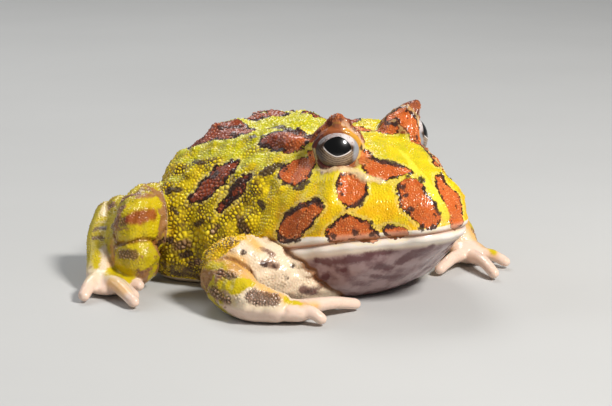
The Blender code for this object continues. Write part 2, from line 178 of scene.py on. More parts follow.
pieces = [flesh("body_flesh", ("head", "lower_jaw", "torso"), BODY_GRAIN, BODY_ROUNDS)]
for side in ("right", "left"):
    for name in ("thigh", "shank", "foot", "upper_arm", "forearm", "hand"):
        rounds = TOE_ROUNDS if name in ("foot", "hand") else LIMB_ROUNDS
        pieces.append(flesh(f"{name}_flesh_{side}", (f"{name}_{side}",), LIMB_GRAIN, rounds))
    pieces.append(flesh(f"lid_flesh_{side}", (f"eyelid_horn_{side}",), LID_GRAIN, LID_ROUNDS))

# Two short pointed folds of loose skin reach from the edge of each arm to the chin.
ARM_FOLDS = [
    ((-0.0285, -0.0150, 0.0108), (-0.0243, -0.0221, 0.0115), 0.0030, 0.0005),
    ((-0.0275, -0.0170, 0.0082), (-0.0249, -0.0224, 0.0090), 0.0026, 0.0006),
]
for side, mirror in (("right", 1), ("left", -1)):
    cones = bmesh.new()
    for root, tip, wide, narrow in ARM_FOLDS:
        root, tip = (Vector((x * mirror, y, z)) for x, y, z in (root, tip))
        turned = (tip - root).to_track_quat("Z", "Y").to_matrix().to_4x4()
        placed = Matrix.Translation((root + tip) / 2) @ turned
        bmesh.ops.create_cone(cones, cap_ends=True, segments=24, radius1=wide, radius2=narrow,
                              depth=(tip - root).length, matrix=placed)
    folds_mesh = bpy.data.meshes.new("arm_folds")
    cones.to_mesh(folds_mesh)
    cones.free()
    folds = add_object(f"upper_arm_flesh_folds_{side}", folds_mesh)
    pieces.append(wrapped(folds, LIMB_GRAIN, FOLD_ROUNDS))

KINDS = ("body", "thigh", "shank", "foot", "upper_arm", "forearm", "hand", "lid")
flesh_points = np.concatenate([points_of(piece.data) for piece in pieces])
flesh_kind = np.concatenate([
    np.full(len(piece.data.vertices), KINDS.index(piece.name.split("_flesh")[0]))
    for piece in pieces
])
whole = bmesh.new()
for piece in pieces:
    whole.from_mesh(piece.data)
skin_mesh = bpy.data.meshes.new("skin")
whole.to_mesh(skin_mesh)
whole.free()
for piece in pieces:
    bpy.data.objects.remove(piece)
skin = wrapped(add_object("skin", skin_mesh), SKIN_GRAIN, SKIN_ROUNDS)


# Which flesh each point of the skin covers: body, thigh, foot and so on, softened
# so that colour and creases run across the joins.
def smooth_step(low, high, values):
    t = np.clip((values - low) / (high - low), 0.0, 1.0)
    return t * t * (3 - 2 * t)


def bump(values, center, width):
    return np.exp(-(((values - center) / width) ** 2))


def nearest(tree, points):
    """For each point the number of the nearest thing in the tree, and how far it is."""
    found = [tree.find(point)[1:] for point in points]
    return np.array([i for i, _ in found]), np.array([d for _, d in found])


weave = Weave(skin.data)
points = points_of(skin.data)
flesh_tree = KDTree(len(flesh_points))
for i, point in enumerate(flesh_points):
    flesh_tree.insert(point, i)
flesh_tree.balance()
covered = flesh_kind[nearest(flesh_tree, points)[0]]
over = {kind: weave.even((covered == i).astype(float), 6) for i, kind in enumerate(KINDS)}

# Creases: where an arm or leg presses on its neighbour the skin tucks in. Lids, hands
# and feet run into the flesh that carries them with no crease at all.
CREASE_DEPTH, TUCK_ROUNDS, SHADE_ROUNDS = 0.65 * MM, 4, 36
SHOULDER_LOW, SHOULDER_FRONT = 0.0095, -0.0085
SEAM_ROUNDS, SEAM_REACH, SEAM_SHARE = 14, 8, 4
DRAPE_ROUNDS, DRAPE_REACH, DRAPE_SHARE = 90, 40, 9

carried = covered.copy()
for part, carrier in (("lid", "body"), ("hand", "forearm"), ("foot", "shank")):
    carried[covered == KINDS.index(part)] = KINDS.index(carrier)
contact = (weave.mean(carried.astype(float)) != carried).astype(float)
shoulder = np.isin(covered, (KINDS.index("body"), KINDS.index("upper_arm"))) * contact
shoulder *= (points[:, 2] > SHOULDER_LOW) & (points[:, 1] > SHOULDER_FRONT)
contact *= 1 - shoulder
seam = (weave.mean(covered.astype(float)) != covered) * (1 - contact)
tuck = weave.even(contact, TUCK_ROUNDS)
tuck /= tuck.max()
# Nearness to a crease, for the painted shade in and beside the creases.
crease_shading = weave.even(contact, SHADE_ROUNDS)
crease_shading /= crease_shading.max()
points -= normals_of(skin.data) * (CREASE_DEPTH * tuck)[:, None]
blended = weave.even(points, SEAM_ROUNDS)
near_seam = np.clip(weave.even(seam, SEAM_REACH)[:, None] * SEAM_SHARE, 0, 1)
points += (blended - points) * near_seam
hanging = weave.even(points, DRAPE_ROUNDS)
near_shoulder = np.clip(weave.even(shoulder, DRAPE_REACH)[:, None] * DRAPE_SHARE, 0, 1)
points += (hanging - points) * near_shoulder
set_points(skin.data, points)

# Swellings and hollows: the skin is a loose bag, so it lies in low swells on the
# back and flanks, in smaller ones on the limbs, and is tightest on the face.
SEED = 11
BODY_SWELL, BODY_RIPPLE = 0.013, 0.0055
LIMB_SWELL, LIMB_RIPPLE, LID_RIPPLE = 0.006, 0.0026, 0.0022
draws = np.random.default_rng(SEED)


def swells(places, size, count=36):
    """Low swells and hollows of about this size in metres."""
    paths = draws.normal(size=(count, 3))
    paths *= 2 * math.pi / size / np.linalg.norm(paths, axis=1, keepdims=True)
    turns = draws.uniform(0, 2 * math.pi, count)
    return np.cos(places @ paths.T + turns).sum(1) * math.sqrt(1 / count)


behind_face = smooth_step(-0.018, -0.004, points[:, 1])
fat_limbs = over["upper_arm"] + over["forearm"] + over["thigh"] + over["shank"]
swelling = over["body"] * (0.24 + 0.32 * behind_face) * swells(points, BODY_SWELL)
swelling += over["body"] * (0.15 + 0.20 * behind_face) * swells(points, BODY_RIPPLE)
swelling += fat_limbs * (0.20 * swells(points, LIMB_SWELL) + 0.13 * swells(points, LIMB_RIPPLE))
swelling += over["lid"] * 0.10 * swells(points, LID_RIPPLE)
swelling *= smooth_step(0.0008, 0.004, points[:, 2])
points += normals_of(skin.data) * (swelling * MM)[:, None]
set_points(skin.data, points)

# Snout: it is narrow on top. Between the eye and the nostril the cheek falls in below
# a blunt ridge, and runs nearly straight down to the lip. The skin is pressed in alike on
# both sides, up to the far side's outline in the picture, as height and place across.
FAR_SIDE = np.array([
    (140, 418.0),
    (148, 424.5),
    (154, 430.0),
    (162, 436.0),
    (168, 440.0),
    (176, 445.5),
    (180, 451.0),
    (187, 459.0),
    (194, 463.0),
    (202, 465.5),
    (214, 470.0),
])
OUTLINE_SOFTNESS = 2.0
LEAST_PRESS, PRESS_ROUNDS = 0.02, 30
SNOUT_BACK, SNOUT_FRONT, SNOUT_LOW, SNOUT_HIGH = -0.0250, -0.0285, 0.0250, 0.0280


def in_picture(places):
    """Where places in space lie in the picture."""
    local = (places - np.array(camera.location)) @ np.array(camera.rotation_euler.to_matrix())
    scale = -PICTURE[0] * LENS / SENSOR / local[:, 2:]
    return np.array(PICTURE) / 2 + local[:, :2] * scale * (1, -1)


side_sign = np.sign(points[:, :1])
onto_far_side = np.concatenate([side_sign, np.ones((len(points), 2))], axis=1)
across, down = in_picture(points * onto_far_side).T
beyond = across - np.interp(down, *FAR_SIDE.T)
snout = over["body"] * smooth_step(SNOUT_BACK, SNOUT_FRONT, points[:, 1])
snout = snout * smooth_step(SNOUT_LOW, SNOUT_HIGH, points[:, 2])
press = np.logaddexp(0, beyond / OUTLINE_SOFTNESS) * OUTLINE_SOFTNESS * snout
press = weave.even(np.where(press > LEAST_PRESS, press, 0), PRESS_ROUNDS)
inwards = np.concatenate([-side_sign, np.ones_like(side_sign), 0 * side_sign], axis=1)
points += inwards * (press * MM_PER_PIXEL * MM * math.sqrt(0.5))[:, None]
set_points(skin.data, points)

# Mouth: a long closed slit from under the snout to below the temple. The upper lip
# is a soft pale roll that hangs a little over the lower one.
MOUTH_LINE = np.array([
    (-0.0475, 0.0203),
    (-0.0450, 0.0200),
    (-0.0380, 0.0192),
    (-0.0300, 0.0180),
    (-0.0220, 0.0162),
    (-0.0140, 0.0143),
    (-0.0098, 0.0133),
    (-0.0040, 0.0122),
])
CORNER_START, CORNER_END = -0.0125, -0.0075
SLIT_DEPTH, UPPER_ROLL, LOWER_ROLL = 0.60 * MM, 0.42 * MM, 0.28 * MM
SLIT_WIDTH, UPPER_PLACE, UPPER_WIDTH, LOWER_PLACE, LOWER_WIDTH = 0.33, 1.5, 0.9, -1.4, 0.8

x, y, z = points.T
above_mouth = (z - np.interp(y, *MOUTH_LINE.T)) / MM
on_face = over["body"] * smooth_step(CORNER_END, CORNER_START, y)
slit = bump(above_mouth, 0.0, SLIT_WIDTH) * on_face
lips = UPPER_ROLL * bump(above_mouth, UPPER_PLACE, UPPER_WIDTH)
lips = lips + LOWER_ROLL * bump(above_mouth, LOWER_PLACE, LOWER_WIDTH)
points += normals_of(skin.data) * (on_face * lips - SLIT_DEPTH * slit)[:, None]
set_points(skin.data, points)

# Nostrils: two small open pits on top of the snout, each with a low soft rim. They are
# pressed into the skin, slanting down and outwards, and are painted dark inside as shade.
NOSTRIL = np.array((0.0042, -0.0400, 0.0332))
NOSTRIL_PIT, PIT_DEPTH, NOSTRIL_SHADE = 0.55, 0.85, 0.75
NOSTRIL_RIM, RIM_WIDTH, RIM_HEIGHT = 1.15, 0.40, 0.30
NOSTRIL_SLANT, NOSTRIL_STRETCH = np.array((0.45, -0.70, -0.55)), 0.65
FAR_OFF = 9.0
nostril_gap = np.full(len(points), FAR_OFF)
for side in (-1, 1):
    middle = points[np.argmin(np.linalg.norm(points - NOSTRIL * (side, 1, 1), axis=1))]
    away = (points - middle) / MM
    slanted = away @ (NOSTRIL_SLANT * (side, 1, 1))
    gap = np.sqrt(np.maximum((away**2).sum(1) - NOSTRIL_STRETCH * slanted**2, 0))
    nostril_gap = np.minimum(nostril_gap, gap)
rim_and_pit = RIM_HEIGHT * bump(nostril_gap, NOSTRIL_RIM, RIM_WIDTH)
rim_and_pit = rim_and_pit - PIT_DEPTH * bump(nostril_gap, 0.0, NOSTRIL_PIT)
points += normals_of(skin.data) * (rim_and_pit * MM)[:, None]
set_points(skin.data, points)


# Eyes: each eyeball stands well out of the head, with a wide black pupil drawn out
# into a point at both ends, and an iris that is silver above and bronze below.
# The lid is a thin fold of skin that lies on the ball, with fine folds behind it.
EYE_SPREAD = 1.008
OPENING_RISE, PUPIL_RISE = math.radians(13.0), math.radians(22.0)
OPENING_WIDE, OPENING_UP, OPENING_DOWN = math.radians(60.0), math.radians(43.0), math.radians(46.0)
PUPIL_ROLL, EYE_TURN = math.radians(6.5), math.radians(45.0)
BALL_AROUND, BALL_RINGS = 128, 96
LID_REACH, LID_FULL = 11.0 * MM, 9.5 * MM
LID_UNDER, LID_OVER = -0.45, 0.32
HEM_RISE, HEM_PLACE, HEM_WIDTH = 0.22, 0.7, 0.45
LID_FOLDS = [(0.22, 2.6, 0.42), (-0.25, 1.75, 0.38), (-0.12, 3.5, 0.4)]


def gaze_frame(side, rise):
    """Where an eye looks, and across and up in front of it."""
    turn = EYE_TURN * side
    level = math.cos(rise)
    look = Vector((math.sin(turn) * level, -math.cos(turn) * level, math.sin(rise)))
    across = Vector((math.cos(turn), math.sin(turn), 0.0))
    return look, across, look.cross(across)


class Paint:
    """A few brush strokes in the language of material nodes."""

    def __init__(self, name):
        self.material = bpy.data.materials.new(name)
        self.material.use_nodes = True
        self.tree = self.material.node_tree
        self.surface = self.tree.nodes["Principled BSDF"]

    def put(self, kind, inputs, **settings):
        made = self.tree.nodes.new("ShaderNode" + kind)
        for key, value in settings.items():
            setattr(made, key, value)
        for key, value in inputs.items():
            self.into(made.inputs[key], value)
        return made

    def into(self, socket, value):
        if isinstance(value, bpy.types.NodeSocket):
            self.tree.links.new(value, socket)
        elif isinstance(value, tuple) and len(value) == 3 and socket.type == "RGBA":
            socket.default_value = (*value, 1.0)
        else:
            socket.default_value = value

    def value(self, name):
        return self.put("Attribute", {}, attribute_name=name).outputs["Fac"]

    def sum(self, a, b, how="ADD"):
        return self.put("Math", {0: a, 1: b}, operation=how).outputs[0]

    def times(self, a, b):
        return self.sum(a, b, "MULTIPLY")

    def step(self, value, low, high, first=0.0, last=1.0):
        inputs = {"Value": value, "From Min": low, "From Max": high}
        inputs |= {"To Min": first, "To Max": last}
        return self.put("MapRange", inputs, interpolation_type="SMOOTHSTEP").outputs[0]

    def blend(self, share, under, over, how="MIX"):
        made = self.put("Mix", {0: share, 6: under, 7: over}, data_type="RGBA", blend_type=how)
        return made.outputs[2]

    def place(self):
        return self.put("TexCoord", {}).outputs["Object"]

    def noise(self, size, detail=2.0, rough=0.5):
        """Cloudy values round a half, with clouds of this size in metres."""
        inputs = {"Vector": self.place(), "Scale": 1.0 / size, "Detail": detail, "Roughness": rough}
        return self.put("TexNoise", inputs).outputs["Fac"]

    def finish(self, looks):
        """Sets the colour and shine of the surface."""
        for name, look in looks.items():
            self.into(self.surface.inputs[name], look)


PUPIL_WIDE, PUPIL_HIGH = 0.550, 0.395
SILVER, BRONZE, BRONZE_DARK = (0.44, 0.38, 0.38), (0.30, 0.21, 0.13), (0.075, 0.038, 0.020)
RIM_BROWN, EYE_BLACK = (0.070, 0.045, 0.032), (0.0015, 0.0015, 0.0015)
IRIS_HIGHLIGHT, TEA, REAR_BROWN = (0.80, 0.74, 0.72), (0.26, 0.13, 0.07), (0.040, 0.018, 0.010)
STREAK, REFLECTED_CRESCENT, BLACK_RING = (0.045, 0.018, 0.008), (0.36, 0.38, 0.41), (0.010, 0.006, 0.005)
PALE_RING, BALL_SHADE = (0.80, 0.72, 0.68), (0.02, 0.012, 0.010)
PUPIL_POINT, IRIS_LINES = 1.55, 17.0

iris = Paint("frog_eye")
along, over_pupil = iris.value("to_snout"), iris.value("to_top")
long_share = iris.times(iris.sum(along, 0.0, "ABSOLUTE"), 1 / PUPIL_WIDE)
long_share = iris.sum(long_share, PUPIL_POINT, "POWER")
high_share = iris.times(iris.sum(over_pupil, 0.0, "ABSOLUTE"), 1 / PUPIL_HIGH)
high_share = iris.sum(high_share, PUPIL_POINT, "POWER")
ring = iris.sum(long_share, high_share)
from_axis = iris.sum(iris.times(along, along), iris.times(over_pupil, over_pupil))
from_axis = iris.sum(from_axis, 0.5, "POWER")
cloud = iris.sum(iris.noise(0.5 * MM, 4.0), 0.5, "SUBTRACT")
lines = iris.sum(iris.times(iris.sum(ring, iris.times(cloud, 0.5)), IRIS_LINES), 0.0, "SINE")
upper = iris.step(iris.sum(over_pupil, iris.times(cloud, 0.4)), -0.02, 0.22)
eye_color = iris.blend(upper, BRONZE, SILVER)
lined = iris.times(iris.step(lines, 0.1, 1.0), iris.step(upper, 1.0, 0.0, 0.15, 0.75))
eye_color = iris.blend(lined, eye_color, BRONZE_DARK)
# A painted highlight: the iris is made pale above the pupil, toward the snout.
painted_highlight = iris.times(iris.step(along, -0.15, 0.30), iris.step(over_pupil, 0.12, 0.36))
eye_color = iris.blend(iris.times(painted_highlight, 0.75), eye_color, IRIS_HIGHLIGHT)
tea = iris.times(iris.step(iris.noise(0.9 * MM, 3.0), 0.50, 0.66), upper)
eye_color = iris.blend(iris.times(tea, 0.6), eye_color, TEA)
rear_side = iris.step(iris.sum(along, iris.times(cloud, 0.3)), -0.30, -0.62, 0.0, 0.92)
rear_side = iris.times(rear_side, iris.step(lines, -1.0, 0.6, 0.6, 1.0))
eye_color = iris.blend(rear_side, eye_color, REAR_BROWN)
level = iris.step(iris.sum(over_pupil, 0.0, "ABSOLUTE"), 0.18, 0.05)
streak = iris.times(level, iris.step(ring, 0.9, 1.1))
eye_color = iris.blend(iris.times(streak, 0.9), eye_color, STREAK)
eye_color = iris.blend(iris.step(from_axis, 0.66, 0.80, 0.0, 0.9), eye_color, RIM_BROWN)
# A painted reflection: a pale bluish crescent low on the iris, on the snout side.
painted_reflection = iris.times(iris.step(along, 0.60, 0.72), iris.step(over_pupil, -0.55, -0.30))
eye_color = iris.blend(iris.times(painted_reflection, 0.8), eye_color, REFLECTED_CRESCENT)
eye_color = iris.blend(iris.step(from_axis, 0.845, 0.90), eye_color, BLACK_RING)
pale_ring = iris.times(iris.step(ring, 1.24, 1.12), iris.step(over_pupil, -0.02, -0.16, 0.0, 0.95))
eye_color = iris.blend(pale_ring, eye_color, PALE_RING)
eye_color = iris.blend(iris.step(ring, 1.06, 1.00), eye_color, EYE_BLACK)
# Painted shade: the ball is dark where it turns away from the front, at its sides and back.
eye_color = iris.blend(iris.step(iris.value("to_front"), 0.25, 0.1), eye_color, BALL_SHADE)
iris.finish({
    "Base Color": eye_color, "Roughness": 0.28, "Metallic": 0.0,
    "Specular IOR Level": 0.2, "Coat Weight": 0.6, "Coat Roughness": 0.03,
})

lid_edge, lid_near = {}, {}
lid_snout, lid_out = np.zeros(len(points)), np.full(len(points), FAR_OFF)
for name, side, openness in (("eye_right", -1, 1.0), ("eye_left", 1, 0.72)):
    low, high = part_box(name)
    center = np.array((low + high) / 2)
    eye_radius = (high.z - low.z) / 2 * EYE_SPREAD
    look, across, upward = (np.array(v) for v in gaze_frame(side, OPENING_RISE))
    reach = np.linalg.norm(points - center, axis=1)
    heading = (points - center) / reach[:, None]
    ahead, sideways, up = heading @ look, heading @ across, heading @ upward
    angle = np.arccos(np.clip(ahead, -1, 1))
    round_it = np.arctan2(up, sideways)
    tall = np.where(up > 0, OPENING_UP, OPENING_DOWN)
    flat_share, tall_share = np.cos(round_it) / OPENING_WIDE, np.sin(round_it) / tall
    edge = openness / np.sqrt(flat_share**2 + tall_share**2)
    behind = (angle - edge) * eye_radius / MM
    near = smooth_step(LID_REACH, LID_FULL, reach) * smooth_step(-0.2, 0.2, ahead)
    hem = HEM_RISE * bump(behind, HEM_PLACE, HEM_WIDTH)
    lid_skin = eye_radius / MM + np.clip(behind, LID_UNDER, LID_OVER) + hem
    keep = smooth_step(0.5, 2.6, behind)
    folds = sum(rise * bump(behind, place, width) for rise, place, width in LID_FOLDS)
    shaped = (lid_skin * (1 - keep) + reach / MM * keep + folds * near) * MM
    points += heading * ((shaped - reach) * near)[:, None]
    lid_edge[name], lid_near[name] = behind, near
    lid_snout += near * (sideways * -side + 0.45 * up)
    lid_out = np.where(near > 0.5, behind, lid_out)

    ball = bmesh.new()
    bmesh.ops.create_uvsphere(
        ball, u_segments=BALL_AROUND, v_segments=BALL_RINGS, radius=eye_radius
    )
    eye_mesh = bpy.data.meshes.new(name + "ball")
    ball.to_mesh(eye_mesh)
    ball.free()
    look, across, upward = gaze_frame(side, PUPIL_RISE)
    across = across * -side
    turned = Matrix((across, upward, look)).transposed()
    spots_on_ball = points_of(eye_mesh) @ np.array(turned).T
    set_points(eye_mesh, spots_on_ball + center)
    to_snout = spots_on_ball @ np.array(across) / eye_radius
    to_top = spots_on_ball @ np.array(upward) / eye_radius
    cos_roll, sin_roll = math.cos(PUPIL_ROLL), math.sin(PUPIL_ROLL)
    drawn = {
        "to_snout": to_snout * cos_roll - to_top * sin_roll,
        "to_top": to_top * cos_roll + to_snout * sin_roll,
        "to_front": spots_on_ball @ np.array(look) / eye_radius,
    }
    for mark, value in drawn.items():
        layer = eye_mesh.attributes.new(mark, "FLOAT", "POINT")
        layer.data.foreach_set("value", value.astype(np.float32))
    if side > 0:
        eye_mesh.flip_normals()
    eye = add_object(name + "ball", eye_mesh)
    eye.data.shade_smooth()
    eye.data.materials.append(iris.material)
    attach(eye, "root")
    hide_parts(name)
set_points(skin.data, points)


# Marks are laid as brush strokes: places in the picture, or on the plan of the frog,
# with the stroke's half width there. Some marks also say where the skin is beaded.
MIRROR_SHIFT, MIRROR_SHARE = 0.0006, 0.96
HIGH_ABOVE, TO_BACK = 0.1, 0.08
UNMARKED = -40.0
skin_tree = BVHTree.FromObject(skin, bpy.context.evaluated_depsgraph_get())


def seen(place):
    """The skin under a place in the picture, or the nearest skin where there is none."""
    found = skin_tree.ray_cast(camera.location, sight_line(place))[0]
    if found is None:
        found = skin_tree.find_nearest(camera.location + sight_line(place) * CAMERA_REACH)[0]
    return found


def below(place):
    """The skin under a place given in millimetres on the plan of the frog."""
    above = Vector((place[0] * MM, place[1] * MM, HIGH_ABOVE))
    found = skin_tree.ray_cast(above, Vector((0, 0, -1)))[0]
    return found or skin_tree.find_nearest(above - Vector((0, 0, TO_BACK)))[0]


def strokes(marks, finder, unit, mirrored=False):
    """The marks as strokes on the skin: for each a list of places and half widths in mm."""
    laid = []
    for mark in marks:
        path = [(finder(spot), spot[2] * unit) for spot in mark]
        laid.append([(np.array(place), width) for place, width in path])
        if mirrored:
            across = []
            for place, width in path:
                opposite = Vector((-place.x, place.y + MIRROR_SHIFT, place.z))
                other = skin_tree.find_nearest(opposite)[0]
                across.append((np.array(other), width * MIRROR_SHARE))
            laid.append(across)
    return laid


def on_both_sides(marks):
    return strokes(marks, seen, MM_PER_PIXEL, mirrored=True)


def depth_outside(marks, places, softness=0.35):
    """How far outside the marks each place is, in mm: less than nothing inside."""
    total = np.full(len(places), UNMARKED)
    for mark in marks:
        spans = list(zip(mark, mark[1:])) or [(mark[0], mark[0])]
        for (start, wide), (end, narrow) in spans:
            along = end - start
            t = np.clip((places - start) @ along / max(along @ along, 1e-12), 0, 1)
            gap = np.linalg.norm(places - start - t[:, None] * along, axis=1) / MM
            total = np.logaddexp(total, -(gap - wide - t * (narrow - wide)) / softness)
    return -total * softness


# Granules: the whole upper side is set with close, round beads of skin, fine on
# the face, coarser on the back and coarsest on the flanks, with a few taller,
# pointed warts. Lips, throat, lids, hands and belly are smooth.
FACE_BEAD, BACK_BEAD, FLANK_BEAD = 0.80, 1.05, 1.35
FACE_HEIGHT, BACK_HEIGHT, FLANK_HEIGHT = 0.33, 0.40, 0.50
WARTS, WART_WIDTH, WART_HEIGHT = 300, 0.75, 0.50
RIM_WARTS, RIM_WART_WIDTH, RIM_WART_HEIGHT = 150, 0.60, 0.42
THROAT_TOP = 4.0
LIP_BAND = np.array([(-47, 1.7), (-38, 1.6), (-30, 1.9), (-22, 2.6), (-14, 2.8), (-9, 2.2)])
POINT_SHARE, PACKING, DOME_SHARE = 1.05, 0.85, 0.42

normals = normals_of(skin.data)
x, y, z = points.T / MM
above_mouth = z - np.interp(points[:, 1], *MOUTH_LINE.T) / MM
on_body = np.clip(over["body"] + over["lid"], 0, 1)
face = smooth_step(-4.0, -14.0, y) * on_body
flank = smooth_step(-12.0, 2.0, y) * smooth_step(0.93, 0.55, normals[:, 2]) * on_body
lip_band = np.interp(y, *LIP_BAND.T)
upper_lip = face * smooth_step(0.7, -0.5, above_mouth - lip_band)
belly = on_body * smooth_step(2.4, 0.5, z) * smooth_step(-10.0, -2.0, y)
below_lip = face * smooth_step(0.3, -0.3, above_mouth)
underside = np.clip(belly + below_lip, 0, 1)
lids = np.zeros(len(points))
for name, behind in lid_edge.items():
    lids = np.maximum(lids, lid_near[name] * smooth_step(1.9, 1.1, behind))
horns = np.clip(over["lid"] * (1 - lids), 0, 1) * smooth_step(40.0, 43.0, z)
arm_top = over["forearm"] * smooth_step(4.0, 6.5, z)
leg_top = (over["thigh"] + over["shank"]) * smooth_step(2.0, 6.0, z)
leg_top = leg_top + over["foot"] * smooth_step(5.0, 9.0, z)
SHOULDER = [[(203, 264, 4), (209, 253, 8), (220, 247, 9), (231, 242, 7), (242, 238, 4)]]
shoulders = on_both_sides(SHOULDER)
draped = smooth_step(1.0, -1.0, depth_outside(shoulders, points))
draped = np.maximum(draped, smooth_step(-9.5, -6.0, y) * smooth_step(3.0, 6.0, z))
draped = draped * over["upper_arm"]
smooth_skin = upper_lip + underside + lids + 0.15 * horns + over["hand"] + over["foot"] * 0.8
smooth_skin = np.clip(smooth_skin, 0, 1)
granular = on_body * (1 - smooth_skin) + draped + 0.65 * (arm_top + over["upper_arm"])
granular = np.clip(granular + 0.85 * leg_top, 0, 1)
flank = np.maximum(flank, draped)
bead_size = FACE_BEAD * face + (1 - face) * (BACK_BEAD + (FLANK_BEAD - BACK_BEAD) * flank)
bead_height = FACE_HEIGHT * face + (1 - face) * (BACK_HEIGHT + (FLANK_HEIGHT - BACK_HEIGHT) * flank)

chance = 1.0 / bead_size**2
point_area = SKIN_GRAIN**2 / MM**2 * POINT_SHARE
bead_count = int((point_area * chance / PACKING).sum())
seeds = points[draws.choice(len(points), bead_count, replace=False, p=chance / chance.sum())]


def tree_of(places):
    tree = KDTree(len(places))
    for i, place in enumerate(places):
        tree.insert(place, i)
    tree.balance()
    return tree


for _ in range(2):
    owner, _ = nearest(tree_of(seeds), points[::2])
    share = np.maximum(np.bincount(owner, minlength=bead_count), 1)
    middles = [np.bincount(owner, column, bead_count) / share for column in points[::2].T]
    seeds = np.where((share > 1)[:, None], np.stack(middles, 1), seeds)
bead_tree = tree_of(seeds)
two = [bead_tree.find_n(point, 2) for point in points]
bead = np.array([found[0][1] for found in two])
first = np.array([found[0][2] for found in two]) / MM
second = np.array([found[1][2] for found in two]) / MM
apart = np.linalg.norm(seeds[bead] - seeds[np.array([found[1][1] for found in two])], axis=1) / MM
to_border = (second**2 - first**2) / (2 * np.maximum(apart, 0.05))
dome = smooth_step(0.0, 1.0, to_border / (DOME_SHARE * bead_size))
bead_lot = draws.random(bead_count)


# Markings: brick-red blotches with a broken black edge and a thin pale line round
# it, on yellow that turns lime on the back. Places and half widths are in the
# picture's pixels, and for the marks on the plan in mm.
BLOTCHES_BOTH = [
    [(291, 172, 11), (299, 171, 15), (305, 166, 11), (311, 157, 5)],
    [(347, 179, 6), (351, 186, 13), (352, 193, 12), (351, 201, 6)],
    [(366, 154, 4), (367, 161, 6), (374, 167, 8), (384, 171, 8), (396, 171, 5), (409, 171, 3)],
    [(316, 207, 7), (304, 216, 12), (291, 228, 12), (284, 235, 7)],
    [(335, 234, 8), (347, 227, 10), (362, 231, 9), (373, 236, 5)],
    [(388, 230, 4), (394, 232, 5), (403, 233, 4)],
    [(356, 127, 3), (366, 130, 4), (380, 131, 6), (392, 129, 5)],
    [(233, 166, 7), (219, 176, 11), (206, 188, 9), (194, 198, 5)],
    [(247, 178, 3), (234, 191, 5), (220, 209, 3)],
]
BLOTCHES_RIGHT = [
    [(405, 188, 7), (413, 188, 9), (414, 200, 12), (423, 208, 12), (430, 218, 10)],
    [(216, 131, 8), (230, 131, 12), (246, 131, 9)],
    [(268, 139, 10), (280, 136, 16), (295, 137, 15), (306, 139, 6)],
]
BLOTCHES_LEFT = [
    [(440, 180, 5), (446, 190, 9), (453, 201, 11), (456, 209, 12), (457, 218, 10)],
    [(390, 116, 5), (400, 112, 6), (410, 122, 7), (417, 138, 4)],
]
BLOTCHES_PLAN = [
    [(11, 1, 4.5), (13, 7, 6.0), (10, 13, 3.5)],
    [(15, 21, 4.5), (18, 27, 5.5), (14, 32, 2.5)],
    [(1, 17, 2.0), (4, 22, 3.5), (2, 30, 3.0)],
    [(8, 36, 3.5), (10, 42, 4.0)],
    [(27, 3, 3.5), (30, 10, 4.5), (30, 18, 3.5)],
    [(27, 26, 4.0), (23, 34, 3.5)],
    [(-1, 40, 2.5), (2, 45, 2.5)],
]
blotches = on_both_sides(BLOTCHES_BOTH)
blotches += strokes(BLOTCHES_RIGHT, seen, MM_PER_PIXEL)
blotches += strokes(BLOTCHES_LEFT, seen, MM_PER_PIXEL)
blotches += strokes([[(-a, b, w) for a, b, w in mark] for mark in BLOTCHES_PLAN[1:4]], below, 1.0)
blotches += strokes(BLOTCHES_PLAN, below, 1.0)

SPOTS_BOTH = [
    [(262, 173, 3), (269, 170, 5), (276, 165, 3)],
    [(260, 202, 3), (263, 208, 3)],
    [(252, 211, 2)],
    [(194, 162, 3), (204, 163, 2)],
    [(168, 191, 4), (180, 189, 3)],
    [(159, 243, 4), (170, 240, 3)],
    [(196, 225, 3), (202, 222, 2)],
    [(181, 256, 3), (190, 253, 4)],
    [(333, 236, 3)],
    [(355, 232, 3)],
    [(372, 235, 3)],
    [(243, 252, 2.5)],
    [(262, 264, 2), (266, 265, 2)],
    [(274, 266, 2)],
    [(293, 266, 2)],
    [(286, 278, 2)],
    [(253, 137, 4)],
    [(172, 208, 2), (178, 214, 2)],
    [(395, 124, 3)],
    [(417, 137, 3)],
    [(367, 158, 1.5), (385, 161.5, 2.5), (403, 166.5, 1.5)],
    [(282, 166, 3)],
    [(286, 170, 2)],
    [(283, 184, 3)],
    [(294, 188, 1.5), (301, 187, 2.5), (308, 181, 2)],
    [(352, 206, 2), (360, 203, 2.5), (366, 194, 2)],
    [(281, 224, 1), (286, 215, 1.5), (292, 211, 3.5), (300, 207, 1.5), (308, 204, 1.5),
     (315, 201, 2.5), (320, 206, 2)],
    [(279, 236, 2), (288, 242, 2), (300, 240, 1.5)],
    [(229, 191, 2), (238, 184, 2.5), (245, 179, 2)],
    [(217, 173, 2.5), (211, 177, 2)],
    [(352, 176, 1.5)],
    [(343, 176, 1.5)],
]
SPOTS_RIGHT = [
    [(406, 195, 2.5)],
    [(411, 209, 2.5)],
    [(402, 187, 3)],
    [(434, 208, 1), (440, 214, 1)],
    [(422, 228.5, 3)],
    [(433, 227, 3)],
    [(266, 129, 2.5), (281, 127, 3.5), (294, 131, 3), (308, 138, 2)],
    [(262, 145, 3), (270, 146, 2)],
    [(233, 134, 4)],
    [(220, 128, 3), (240, 127, 3)],
]
STAINS_BOTH = [
    [(111, 205, 3.5), (124, 199, 3.5), (139, 193, 3.5)],
    [(142, 189, 3), (150, 190, 3)],
    [(114, 225, 5), (124, 221, 5)],
    [(120, 254, 4), (134, 255, 5)],
    [(96, 229, 3), (105, 228, 3)],
    [(93, 238, 2.5), (101, 238, 2.5)],
    [(220, 273, 4), (234, 276, 4)],
    [(254, 296, 8), (272, 299, 8)],
    [(240, 221, 5), (246, 230, 5)],
    [(261, 248, 2), (273, 254, 3)],
    [(262, 262, 3), (276, 266, 4)],
    [(218, 226, 3), (213, 232, 4)],
    [(177, 246, 5), (188, 243, 4)],
    [(199, 262, 4), (214, 293, 5), (228, 301, 4)],
]
